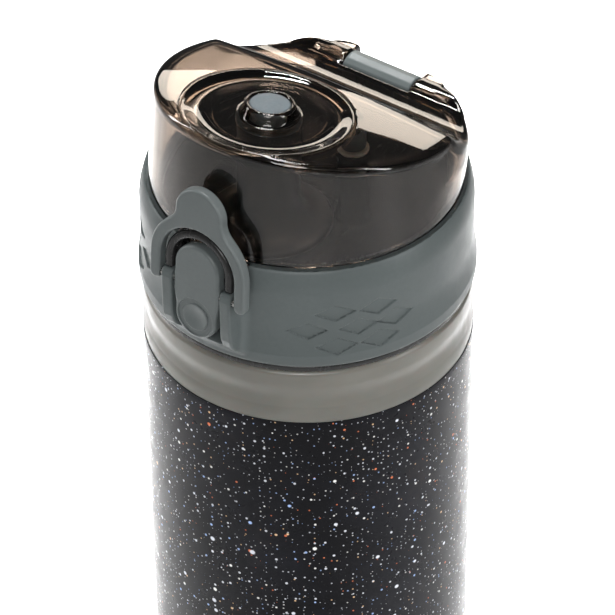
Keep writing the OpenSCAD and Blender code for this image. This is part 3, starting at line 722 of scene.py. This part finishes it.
def star_print(name):
    """Printed night sky on the film: near-black with faint clouds and dots of many sizes."""
    look = Look(name, (0.006, 0.006, 0.008), 0.45, IOR=1.5, Specular_IOR_Level=0.08)
    split = look.add("SeparateXYZ", {0: look.place}).outputs
    around = look.math("MULTIPLY", look.math("ARCTAN2", split["X"], look.math("MULTIPLY", split["Y"], -1.0)),
                       BODY_R)
    flat = look.add("CombineXYZ", {"X": around, "Y": split["Z"]}).outputs[0]
    haze = look.noise(34, 5, 0.6, flat)
    dust = look.noise(9, 6, 0.7, flat)
    colour = look.mix(look.span(haze, 0, 1, 0.42, 0.8), (0.005, 0.005, 0.0065), (0.014, 0.015, 0.021))
    glow = look.span(look.math("MULTIPLY", haze, dust), 0, 1, 0.3, 0.52)
    colour = look.mix(glow, colour, (0.024, 0.019, 0.018))
    for spacing, size, rarity, strength in STARS:
        cell = look.add("TexVoronoi", {"Vector": flat, "Scale": 1 / spacing}, voronoi_dimensions="2D")
        pick = look.add("SeparateColor", {0: cell.outputs["Color"]}).outputs
        edge = look.math("SUBTRACT", look.span(pick[0], 0, size, rarity, 1), cell.outputs["Distance"])
        tint = look.add("ValToRGB", {0: pick[1]})
        ramp = tint.color_ramp
        ramp.interpolation = "CONSTANT"
        (_, first), *between, (end, last) = STAR_TINTS
        ramp.elements[0].color = first
        ramp.elements[1].position = end
        ramp.elements[1].color = last
        for position, value in between:
            ramp.elements.new(position).color = value
        colour = look.mix(look.span(edge, 0, strength, 0, size * 0.3), colour, tint.outputs[0])
    look.to("Base Color", colour)
    look.to("Roughness", look.span(look.noise(4, 3), 0.26, 0.36))
    look.to("Normal", look.bump(look.noise(6, 2), 0.02, look.bump(look.noise(0.4, 2), 0.003)))
    return look.material


GREY = (0.085, 0.1, 0.1)
LATCH_GREY = (0.11, 0.125, 0.125)
LOOKS = {
    "collar": satin_plastic("satin_grey", GREY),
    "latch": satin_plastic("satin_light_grey", LATCH_GREY, 0.38),
    "cap": gloss_plastic("dark_moulding", (0.02, 0.02, 0.02), 0.22),
    "spout": silicone("spout_rubber", (0.016, 0.016, 0.016), 0.4),
    "clear_silicone": silicone("clear_silicone", (0.55, 0.56, 0.55), 0.4),
    "plug": silicone("plug_rubber", (0.1, 0.125, 0.14), 0.55),
    "steel": steel("stainless"),
    "smoke": smoked_clear("smoked_clear"),
    "body": frosted_body("frosted_smoke"),
    "print": star_print("printed_sky"),
}

# ---------- bottle ----------
add_piece("bottle_shell", bottle_mesh(), "bottle", ["bottle_body"], LOOKS["body"])
FILM_EDGE_R = 0.06
film_profile = ([(BODY_R - FILM_T, FILM_LOW)]
                + arc(BODY_R - FILM_EDGE_R, FILM_LOW + FILM_EDGE_R, FILM_EDGE_R, -90, 0, 3)
                + [(BODY_R, z) for z in np.linspace(FILM_LOW + 2, FILM_TOP - 2, 40)]
                + arc(BODY_R - FILM_EDGE_R, FILM_TOP - FILM_EDGE_R, FILM_EDGE_R, 0, 90, 3)
                + [(BODY_R - FILM_T, FILM_TOP)])
add_piece("printed_film", mesh_of("printed_film", lathe(film_profile, 288), place=Matrix()), "bottle",
          ["print_film"], LOOKS["print"])
gasket = ([(27.2, 14), (30.6, 14)] + arc(30, 15.4, 0.6, 0, 90, 6) + arc(28.9, 15.8, 0.25, 0, 180, 4)
          + [(27.8, 16), (27.2, 15.4)])
add_piece("neck_seal", turned("neck_seal", gasket, Matrix(), 192), "lid_seal", ["neck_gasket"],
          LOOKS["clear_silicone"])

# ---------- lid ----------
add_piece("screw_cap_inner", field_mesh("screw_cap_inner", inner_cap, (-35, -38.6, -2), (35, 35, 34.5), 0.5),
          "lid", ["screw_cap"], LOOKS["cap"])
add_piece("collar", field_mesh("collar", collar, (-35.6, -39, -0.2), (35.6, 35.6, 34), 0.36),
          "lid", ["collar_shell"], LOOKS["collar"])
add_piece("spout", field_mesh("spout", mouthpiece, (-13.2, -26.3, 16), (13.2, 0.3, 45), 0.3),
          "lid", ["mouthpiece"], LOOKS["spout"])
seal = arc(11.6, DECK_Z + 0.4, 0.4, -90, 90, 6) + arc(9.25, DECK_Z + 0.4, 0.4, 90, 270, 6)
add_piece("spout_seal", turned("spout_seal", seal, Matrix.Translation((0, MOUTH_Y, 0))), "lid",
          ["mouthpiece_seal"], LOOKS["clear_silicone"])
VENT_FRAME = Matrix.Translation((VENT_X, VENT_Y, 0))
valve = ([(0.5, 28), (0.9, 28), (2.35, 30.4), (2.35, VENT_TOP), (3.0, VENT_TOP)]
         + arc(2.8, VENT_TOP + 0.4, 0.4, -90, 90, 5) + arc(0.9, VENT_TOP + 0.4, 0.4, 90, 180, 4))
add_piece("air_valve", turned("air_valve", valve, VENT_FRAME, 48), "lid", ["vent_valve"],
          LOOKS["clear_silicone"])
add_piece("cover_pin", pin("cover_pin", PIN_R, PIN_HALF, HINGE_FRAME), "lid", ["hinge_pin"], LOOKS["steel"])
add_piece("cover_spring", coil(1.45, 0.28, 8, 7.8, HINGE_FRAME), "lid", ["hinge_spring"], LOOKS["steel"])
add_piece("latch_axle", pin("latch_axle", LATCH_PIN_R, LATCH_PIN_HALF, LATCH_FRAME @ ACROSS), "lid",
          ["latch_pin"], LOOKS["steel"])
spring_place = Matrix.Translation((0, -34.1, SPRING_Z)) @ Matrix.Rotation(pi / 2, 4, "X")
add_piece("return_spring", coil(1.6, 0.25, 4, 1.8, spring_place), "lid", ["button_spring"], LOOKS["steel"])

# ---------- flip cover ----------
add_piece("smoked_cover", field_mesh("smoked_cover", cover, (-33.5, -34.5, 19.4), (33.5, 32.3, 51), 0.42),
          "cover", ["flip_cover"], LOOKS["smoke"])
PLUG_LOW, PLUG_TOP = -DISH_DEPTH - WALL, BOSS_H - 0.15
plug = ([(0, PLUG_LOW - 3.2)] + arc(2.7, PLUG_LOW - 2.7, 0.5, -90, 0, 5) + [(3.3, PLUG_LOW - 0.9)]
        + [(6.3, PLUG_LOW - 0.9)] + arc(6.35, PLUG_LOW - 0.45, 0.4, -90, 90, 6) + [(4.2, PLUG_LOW)]
        + arc(3.75, PLUG_TOP - 0.45, 0.45, 0, 80, 6)
        + [(2.6, PLUG_TOP - 0.04), (1.2, PLUG_TOP), (0, PLUG_TOP)])
add_piece("spout_stopper", turned("spout_stopper", plug, FACE_FRAME), "cover", ["spout_plug"], LOOKS["plug"])
vent = ([(0, 35)] + arc(2.2, 35.4, 0.4, -90, 0, 4) + arc(2.2, 38, 0.4, 0, 90, 4)
        + [(1.37, 38.4), (1.37, 36.2), (0, 36.2)])
add_piece("vent_stopper", turned("vent_stopper", vent, VENT_FRAME, 48), "cover", ["vent_plug"],
          LOOKS["plug"])

# ---------- latch ----------
add_piece("release_button", field_mesh("release_button", button, (-5.8, -40.5, 4), (5.8, -34, 28), 0.18),
          "button", ["push_button"], LOOKS["latch"])
add_piece("safety_catch", field_mesh("safety_catch", ring, (-12, -39.5, 15), (12, -33, 41.5), 0.2),
          "safety_ring", ["lock_ring"], LOOKS["latch"])

# ---------- stage ----------
AIM = Vector((-0.12, -0.09, 136.3)) * MM
CAMERA_AT, CAMERA_ROLL, LENS = (351.2, -483.4, 639.4), radians(-0.58), 216.1
BEHIND = Vector((-110, 150, 0)) * MM             # the floor that the camera sees behind the bottle
WARM, WHITE = (1, 0.9, 0.78), (1, 1, 1)
ROOM_LIGHT = 0.09


def stage_floor():
    """A pale floor: one wide disc of card under the bottle."""
    verts, faces = lathe([(0, -2), (3000, -2), (3000, 0), (0, 0)], 64)
    obj = bpy.data.objects.new("floor", mesh_of("floor", (verts, faces), place=Matrix()))
    bpy.context.scene.collection.objects.link(obj)
    look = Look("pale_card", (0.86, 0.86, 0.86), 0.6)
    cloud = look.span(look.noise(60, 4), 0, 1)
    look.to("Base Color", look.mix(cloud, (0.85, 0.85, 0.85), (0.88, 0.88, 0.88)))
    look.to("Normal", look.bump(look.noise(1.2, 3), 0.02))
    obj.data.materials.append(look.material)


def area_light(name, place, size, power, spread, aim=AIM, tint=WHITE):
    """A soft box at a place in millimetres, turned to its aim."""
    data = bpy.data.lights.new(name, "AREA")
    data.shape = "RECTANGLE"
    data.size, data.size_y = (s * MM for s in size)
    data.energy = power
    data.spread = radians(spread)
    data.color = tint
    obj = bpy.data.objects.new(name, data)
    obj.location = Vector(place) * MM
    obj.rotation_euler = (aim - obj.location).to_track_quat("-Z", "Y").to_euler()
    obj.visible_camera = False
    bpy.context.scene.collection.objects.link(obj)


def camera():
    """The view of the bottle's lid from front right and above."""
    data = bpy.data.cameras.new("camera")
    data.lens, data.sensor_width = LENS, 36
    data.clip_start, data.clip_end = 0.05, 20
    obj = bpy.data.objects.new("camera", data)
    obj.location = Vector(CAMERA_AT) * MM
    turn = (AIM - obj.location).to_track_quat("-Z", "Y").to_matrix().to_4x4()
    obj.rotation_euler = (turn @ Matrix.Rotation(CAMERA_ROLL, 4, "Z")).to_euler()
    bpy.context.scene.collection.objects.link(obj)
    bpy.context.scene.camera = obj


def studio_world():
    """A dim room, and colours shown as they are."""
    world = bpy.data.worlds.new("studio")
    world.use_nodes = True
    backdrop = world.node_tree.nodes["Background"].inputs
    backdrop["Color"].default_value = (1, 0.98, 0.96, 1)
    backdrop["Strength"].default_value = ROOM_LIGHT
    bpy.context.scene.world = world
    bpy.context.scene.view_settings.view_transform = "Standard"


stage_floor()
studio_world()
area_light("sweep_light", (-250, 345, 700), (160, 160), 2.0, 40, BEHIND)
area_light("warm_card", (-424, 650, 400), (500, 150), 1.3, 180, AIM, WARM)
area_light("top_box", (-60, 120, 900), (260, 260), 1.6, 120)
area_light("front_fill", (420, -700, 620), (400, 400), 2.2, 120)
area_light("left_strip", (-520, -160, 330), (80, 500), 0.8, 120)
area_light("right_strip", (560, 60, 330), (80, 500), 0.8, 120)
camera()
